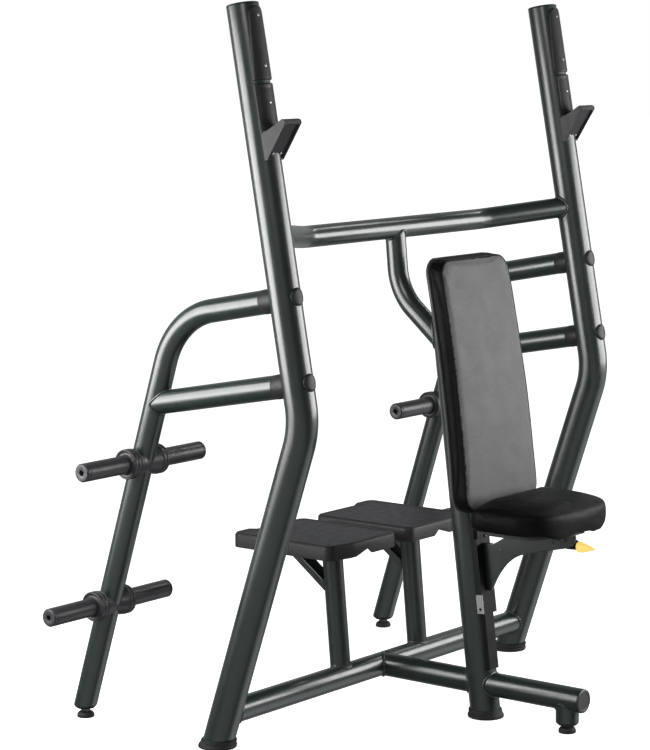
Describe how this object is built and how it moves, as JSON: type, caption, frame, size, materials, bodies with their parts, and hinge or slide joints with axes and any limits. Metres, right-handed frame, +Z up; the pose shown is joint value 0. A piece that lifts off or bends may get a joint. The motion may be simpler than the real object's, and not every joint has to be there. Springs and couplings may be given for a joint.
{
  "type": "olympic press bench",
  "caption": "Seated olympic press bench: upright rack with bar hooks, plate storage pegs, fixed backrest, height-adjustable seat and spotter steps.",
  "frame": {"origin": "middle of the floor area under the bench", "axes": "+X to the right of a person standing behind it, -Y the way the seated user faces, +Z up"},
  "size_m": [1.652, 1.1456, 1.7766],
  "materials": {
    "frame_paint": "gloss powder coat, very dark green-grey",
    "charcoal_plastic": "fine moulded texture",
    "rubber_black": "moulded, matt",
    "backrest_cover": "fine-grained upholstery vinyl, mid grey",
    "seat_cover": "fine-grained upholstery vinyl, black",
    "board": "moulded backing shell, satin",
    "rail_black": "satin black",
    "zinc": "bright zinc plate",
    "lever_yellow": "smooth dipped vinyl"
  },
  "bodies": {
    "frame": {"upright_left": "frame_paint", "upright_top_cap_left": "rubber_black", "upright_foot_left": "rubber_black", "rear_frame_left": "frame_paint", "lower_brace_left": "frame_paint", "bar_hook_left": "charcoal_plastic", "guard_strip_left": "charcoal_plastic", "brace_collar_upper_left": "charcoal_plastic", "brace_bolt_upper_left": "charcoal_plastic", "peg_bar_upper_left": "zinc", "storage_peg_upper_left_a": "charcoal_plastic", "storage_peg_upper_left_b": "charcoal_plastic", "brace_collar_lower_left": "charcoal_plastic", "brace_bolt_lower_left": "charcoal_plastic", "peg_bar_lower_left": "zinc", "storage_peg_lower_left_a": "charcoal_plastic", "storage_peg_lower_left_b": "charcoal_plastic", "step_post_left": "frame_paint", "foot_step_left": "charcoal_plastic", "upright_right": "frame_paint", "upright_top_cap_right": "rubber_black", "upright_foot_right": "rubber_black", "rear_frame_right": "frame_paint", "lower_brace_right": "frame_paint", "bar_hook_right": "charcoal_plastic", "guard_strip_right": "charcoal_plastic", "brace_collar_upper_right": "charcoal_plastic", "brace_bolt_upper_right": "charcoal_plastic", "peg_bar_upper_right": "zinc", "storage_peg_upper_right_a": "charcoal_plastic", "storage_peg_upper_right_b": "charcoal_plastic", "brace_collar_lower_right": "charcoal_plastic", "brace_bolt_lower_right": "charcoal_plastic", "peg_bar_lower_right": "zinc", "storage_peg_lower_right_a": "charcoal_plastic", "storage_peg_lower_right_b": "charcoal_plastic", "step_post_right": "frame_paint", "foot_step_right": "charcoal_plastic", "base_crossbar": "frame_paint", "base_beam_rear": "frame_paint", "base_beam_front": "frame_paint", "beam_end_cap": "charcoal_plastic", "column": "frame_paint", "column_foot": "rubber_black", "upper_crossbar": "frame_paint", "hanger_tube": "frame_paint", "backrest_pad": "backrest_cover", "backrest_shell": "board", "backrest_mount": "frame_paint", "seat_rail": "rail_black"},
    "seat": {"seat_carriage": "rail_black", "carriage_guide_plate": "zinc", "seat_bracket": "frame_paint", "seat_board": "board", "seat_pad": "seat_cover"},
    "release_lever": {"release_lever": "lever_yellow"},
    "lock_pin": {"lock_pin": "zinc"},
    "front_levelling_foot": {"front_levelling_foot": "rubber_black"},
    "rear_levelling_foot_left": {"rear_levelling_foot_left": "rubber_black"},
    "rear_levelling_foot_right": {"rear_levelling_foot_right": "rubber_black"}
  },
  "joints": [
    {"name": "seat_slide", "type": "slide", "parent": "frame", "child": "seat", "axis": [0, 0.1197, 0.9928], "range_m": [-0.125, 0.025]},
    {"name": "release_lever_pull", "type": "hinge", "parent": "seat", "child": "release_lever", "pos_m": [0, -0.4845, 0.4805], "axis": [-1, 0, 0], "range_deg": [0, 20], "stiffness_Nm_per_rad": 3, "springref_deg": -11.46},
    {"name": "lock_pin_slide", "type": "slide", "parent": "seat", "child": "lock_pin", "axis": [0, -0.9928, 0.1197], "range_m": [0, 0.0075]},
    {"name": "front_levelling_foot_turn", "type": "hinge", "parent": "frame", "child": "front_levelling_foot", "pos_m": [0, -0.496, 0.02], "axis": [0, 0, 1], "continuous": true},
    {"name": "rear_levelling_foot_left_turn", "type": "hinge", "parent": "frame", "child": "rear_levelling_foot_left", "pos_m": [-0.614, 0.5436, 0.02], "axis": [0, 0, 1], "continuous": true},
    {"name": "rear_levelling_foot_right_turn", "type": "hinge", "parent": "frame", "child": "rear_levelling_foot_right", "pos_m": [0.614, 0.5436, 0.02], "axis": [0, 0, 1], "continuous": true}
  ],
  "couplings": [
    {"joint": "lock_pin_slide", "follows": "release_lever_pull", "m_per_rad": 0.02}
  ]
}
